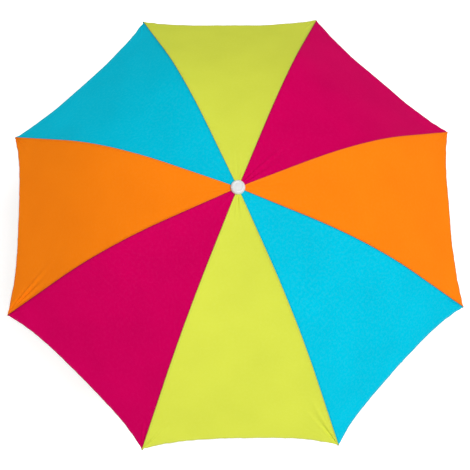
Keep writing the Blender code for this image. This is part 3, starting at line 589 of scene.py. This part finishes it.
def hem_binding(number, letter, surface, material):
    """White tape sewn under the hem; it stands a few millimetres past the cloth's edge."""
    points, normals, _, _ = surface
    middle = points.shape[1] // 2
    use = slice(0, middle + 1) if letter == "a" else slice(middle, None)
    edge, normal = points[-1, use], normals[-1, use]
    along = np.gradient(edge, axis=0)
    along /= np.linalg.norm(along, axis=-1, keepdims=True)
    outward = np.cross(along, normal)
    if outward[len(outward) // 2, 0] < 0:
        outward = -outward
    length = np.concatenate([[0], np.cumsum(np.linalg.norm(np.diff(edge, axis=0), axis=-1))])
    from_tip = length if letter == "a" else length[-1] - length
    # The tape narrows to almost nothing at the rib tip, where the cloth is turned into its pocket.
    grow = (BINDING_TIP_SHARE + (1 - BINDING_TIP_SHARE) * smooth(from_tip / BINDING_TIP_RUN))[:, None]
    inner = points[-2, use] - normals[-2, use] * TAPE_DROP
    edge = edge - normal * TAPE_DROP
    inner = inner + (edge - inner) * (1 - smooth((from_tip - 0.004) / 0.030))[:, None] * 0.9
    thick = BINDING_THICKNESS
    rounded = [(0.6, 0.0), (0.92, -0.2 * thick), (1.0, -0.5 * thick), (0.92, -0.8 * thick), (0.6, -thick)]
    brim = [edge + outward * (out * BINDING_OUTSIDE * grow) + normal * up for out, up in rounded]
    loops = [inner, edge] + brim + [edge - normal * thick, inner - normal * thick, inner]
    grid = turn_about_z(np.stack(loops, axis=0), (number - 1) * RIB_STEP)
    across = np.array([0, 0.0065, 0.008, 0.0095, 0.010, 0.0105, 0.012, 0.0135, 0.020, 0.0207])
    tape = np.stack(np.broadcast_arrays(across[:, None], length[None, :]), axis=-1)
    name = f"hem_tape_{number}{letter}"
    mesh = grid_mesh(name, grid, None, tape, tape)
    piece = add_piece(name, mesh, material, f"canopy_panel_{number}{letter}")
    flatten_on_rib(piece)
    return piece


# Colour, deep colour for uneven dye and for the painted shade beside seams, pale colour for the painted sheen
# mottle and the stitches, colour of light coming through
PANEL_CLOTH_COLOURS = {
    "orange_cloth": ("#ff8410", "#d85000", "#ffa048", "#ff8c18"),
    "magenta_cloth": ("#cf005a", "#6e002c", "#e63a86", "#e00058"),
    "lime_cloth": ("#d8e04c", "#98a022", "#e8ee84", "#dbe848"),
    "turquoise_cloth": ("#00c0de", "#00708f", "#6ad8ea", "#00d4ee"),
}
LAPPED_CLOTHS = ("orange_cloth", "lime_cloth")


def build_canopy(tape):
    dyes = {slot: woven_polyester(slot.replace("_cloth", "_polyester"), *colours, slot in LAPPED_CLOTHS)
            for slot, colours in PANEL_CLOTH_COLOURS.items()}
    for number in range(1, RIBS + 1):
        surface = panel_grid(number)
        for letter in "ab":
            material = dyes[frame_slot(f"canopy_panel_{number}{letter}")]
            piece, rib = canopy_half(number, letter, surface, material)
            binding = hem_binding(number, letter, surface, tape)


# ---------------------------------------------------------------- ribs

def rounded_copy(node, name, body, material):
    """A frame piece copied whole, with its turned sides shaded round and its edges kept crisp."""
    source = frame["nodes"][node]
    mesh = source.data.copy()
    mesh.transform(source.matrix_world)
    mesh.materials.clear()
    welded = bmesh.new()
    welded.from_mesh(mesh)
    bmesh.ops.remove_doubles(welded, verts=welded.verts, dist=WELD)
    welded.to_mesh(mesh)
    welded.free()
    piece = add_piece(name, mesh, material, body)
    mesh.shade_smooth()
    mesh.set_sharp_from_angle(angle=SHARP_EDGE)
    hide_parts(node)
    return piece


def build_ribs(material):
    """Sprung steel rods, drawn round, each with its crown eye and stretcher lug."""
    for number in range(1, RIBS + 1):
        piece = rounded_copy(f"rib_{number}", f"rib_rod_{number}", f"rib_{number}", material)
        flatten_on_rib(piece)


def build_pole(materials):
    """The plain round tubes and the spike; the jointed fittings keep the flats of the frame."""
    for node, body in (("lower_pole", "lower_pole"), ("ground_spike", "lower_pole"),
                       ("middle_tube", "middle_tube"), ("upper_pole", "upper_pole")):
        rounded_copy(node, f"{node}_body", body, materials[frame_slot(node)])


def lathe(name, profile, centre, sides=96):
    """A smooth turned shell about a vertical axis, from points (radius, height) of its half outline."""
    turns = [2 * math.pi * i / sides for i in range(sides)]
    vertices = [(centre[0] + r * math.cos(t), centre[1] + r * math.sin(t), z)
                for r, z in profile for t in turns]
    faces = []
    for ring in range(len(profile) - 1):
        for i in range(sides):
            low, high, step = ring * sides, (ring + 1) * sides, (i + 1) % sides
            faces.append((low + i, low + step, high + step, high + i))
    mesh = bpy.data.meshes.new(name)
    mesh.from_pydata(vertices, [], faces)
    clean = bmesh.new()
    clean.from_mesh(mesh)
    bmesh.ops.remove_doubles(clean, verts=clean.verts, dist=WELD)
    bmesh.ops.recalc_face_normals(clean, faces=clean.faces)
    clean.to_mesh(mesh)
    clean.free()
    mesh.shade_smooth()
    mesh.set_sharp_from_angle(angle=math.radians(35))
    return mesh


def build_cap(material):
    """The moulded cap over the crown: a rounded shoulder, a raised ring and a dish with its gate mark."""
    low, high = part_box("top_cap")
    radius = (high[0] - low[0]) / 2
    centre = ((low[0] + high[0]) / 2, (low[1] + high[1]) / 2)
    top = high[2]
    base = top - CAP_HEIGHT
    wall = base + CAP_WALL
    profile = [(0.0, base + 0.0006), (radius - 0.0016, base + 0.0001), (radius - 0.0004, base),
               (radius, base + 0.0004), (radius, wall)]
    for i in range(1, CAP_SHOULDER_STEPS + 1):
        turn = math.pi / 2 * i / CAP_SHOULDER_STEPS
        shoulder = CAP_LAND + (radius - CAP_LAND) * math.cos(turn)
        profile.append((shoulder, wall + (top - wall) * math.sin(turn)))
    floor = top - CAP_DISH
    profile += [(CAP_LAND - 0.0006, top - 0.00008), (CAP_LAND - 0.0011, top - 0.0004),
                (CAP_LAND - 0.0014, floor + 0.0003), (CAP_LAND - 0.0020, floor),
                (0.0110, floor + 0.0001), (0.0070, floor + 0.00035), (0.0030, floor + 0.0005)]
    # The gate mark: a small round dimple in the middle of the dish.
    profile += [(0.0016, floor + 0.00052), (0.0013, floor + 0.0002), (0.0004, floor + 0.00015),
                (0.0, floor + 0.00015)]
    mesh = lathe("crown_cap", profile, centre)
    piece = add_piece("crown_cap", mesh, material, "upper_pole")
    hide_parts("top_cap")


def sleeve(name, rib, start, end, material):
    """A band of tape round a rib, sewn to the canopy above it."""
    loops = []
    inside, outside = SLEEVE_RADIUS, SLEEVE_RADIUS + SLEEVE_THICKNESS
    for run, radius in ((start, inside), (start, outside), (end, outside), (end, inside), (start, inside)):
        r, drop, slope = (float(value) for value in cloth_line(run))
        loop = []
        for i in range(SLEEVE_SIDES):
            turn = 2 * math.pi * i / SLEEVE_SIDES
            rise = radius * math.sin(turn) - CLOTH_LIFT
            side = radius * math.cos(turn)
            loop.append((r + rise * math.sin(slope), side, CROWN_HEIGHT - drop + rise * math.cos(slope)))
        loops.append(loop + loop[:1])
    turn = RIB_STEP * (rib - 0.5)
    grid = turn_about_z(np.array(loops), turn)
    around, along = np.linspace(0, 0.02, grid.shape[1]), np.linspace(0, end - start, len(loops))
    place = np.stack(np.meshgrid(around, along), axis=-1)
    mesh = grid_mesh(name, grid, None, place, place)
    piece = add_piece(name, mesh, material, f"rib_{rib}")
    flatten_on_rib(piece)


def build_ties(material):
    """Two tape ties and an end pocket hold the canopy to each rib."""
    for rib in range(1, RIBS + 1):
        for i, run in enumerate(TIE_RUNS):
            sleeve(f"rib_tie_{rib}_{i + 1}", rib, run, run + TIE_WIDTH, material)
        sleeve(f"tip_pocket_{rib}", rib, RIB_END - POCKET_LENGTH, RIB_END - POCKET_SETBACK, material)


def paint_frame(materials):
    """Gives each shown solid of the frame the material of its finish."""
    for name, node in frame["nodes"].items():
        if node.hide_render:
            continue
        node.data.materials.clear()
        node.data.materials.append(materials[frame_slot(name)])


# ---------------------------------------------------------------- studio

def build_floor():
    made, tree, shader = new_material("white_paper_sweep")
    place = add_node(tree, "ShaderNodeTexCoord")
    grain = add_node(tree, "ShaderNodeTexNoise", None,
                     {"Vector": place.outputs["Object"], "Scale": 3.0, "Detail": 2.0})
    tone = add_node(tree, "ShaderNodeMix", {"data_type": "RGBA"},
                    {"Factor": grain.outputs["Fac"], "A": linear("#fbfbfb"), "B": linear("#f7f7f7")})
    tree.links.new(tone.outputs["Result"], shader.inputs["Base Color"])
    shader.inputs["Roughness"].default_value = 0.9
    shader.inputs["Emission Color"].default_value = linear("#ffffff")
    shader.inputs["Emission Strength"].default_value = FLOOR_GLOW
    bpy.ops.mesh.primitive_circle_add(vertices=96, radius=FLOOR_RADIUS, fill_type="NGON", location=(0, 0, 0))
    floor = bpy.context.object
    floor.name = "paper_floor"
    floor.data.materials.append(made)


def add_light(name, place, target, size, power):
    lamp = bpy.data.lights.new(name, "AREA")
    lamp.shape = "DISK"
    lamp.size = size
    lamp.energy = power
    holder = bpy.data.objects.new(name, lamp)
    bpy.context.scene.collection.objects.link(holder)
    holder.location = place
    holder.rotation_euler = (Vector(target) - Vector(place)).to_track_quat("-Z", "Y").to_euler()


def build_studio():
    world = bpy.data.worlds.new("studio")
    bpy.context.scene.world = world
    world.use_nodes = True
    tree = world.node_tree
    background = tree.nodes["Background"]
    # Pale walls under a dimmer ceiling, palest where they meet the floor.
    height = add_node(tree, "ShaderNodeSeparateXYZ", None,
                      {"Vector": add_node(tree, "ShaderNodeTexCoord").outputs["Generated"]})
    walls = add_node(tree, "ShaderNodeMapRange", {"interpolation_type": "SMOOTHSTEP"},
                     {"Value": height.outputs["Z"], "From Min": 0.15, "From Max": 0.75,
                      "To Min": 0.50, "To Max": 0.20})
    skirting = add_node(tree, "ShaderNodeMapRange", {"interpolation_type": "SMOOTHSTEP"},
                        {"Value": height.outputs["Z"], "From Min": 0.0, "From Max": 0.22,
                         "To Min": 0.45, "To Max": 0.0})
    glow = add_node(tree, "ShaderNodeMath", {"operation": "ADD"},
                    {0: walls.outputs["Result"], 1: skirting.outputs["Result"]})
    tree.links.new(glow.outputs["Value"], background.inputs["Strength"])
    background.inputs["Color"].default_value = (1.0, 1.0, 1.0, 1.0)
    add_light("key", KEY_PLACE, KEY_TARGET, KEY_SIZE, KEY_POWER)
    bpy.context.scene.view_settings.view_transform = "Standard"


# The viewer is nearly straight over the canopy, a little to the front.
CAMERA_TILT = math.radians(16.264)
CAMERA_YAW = math.radians(-6.497)
CAMERA_ROLL = math.radians(5.359)
CAMERA_LENS = 74.03
CAMERA_OFFSET = Vector((-0.1282, -1.1761, 3.8415))


def build_camera():
    """The offset is in canopy radii from the middle of the plane through the rib tips."""
    radius, drop, _ = cloth_line(RIB_LENGTH)
    tips = Vector((0, 0, CROWN_HEIGHT - float(drop)))
    lens = bpy.data.cameras.new("camera")
    lens.sensor_width = 36.0
    lens.lens = CAMERA_LENS
    holder = bpy.data.objects.new("camera", lens)
    bpy.context.scene.collection.objects.link(holder)
    turn = (Matrix.Rotation(CAMERA_YAW, 4, "Z") @ Matrix.Rotation(CAMERA_TILT, 4, "X")
            @ Matrix.Rotation(CAMERA_ROLL, 4, "Z"))
    holder.matrix_world = Matrix.Translation(tips + CAMERA_OFFSET * float(radius)) @ turn
    bpy.context.scene.camera = holder


def build_umbrella():
    coat = powder_coated_steel()
    tape = cotton_tape()
    white = moulded_plastic("white_moulded_plastic", "#e9e9e9", "#dcddde", 0.36)
    build_canopy(tape)
    build_ties(tape)
    build_cap(white)
    build_ribs(coat)
    materials = {
        "white_steel": coat,
        "white_plastic": white,
        "dark_plastic": moulded_plastic("charcoal_moulded_plastic", "#3a3c40", "#303236", 0.45),
        "bare_steel": drawn_steel(),
    }
    build_pole(materials)
    paint_frame(materials)


build_umbrella()
build_floor()
build_studio()
build_camera()
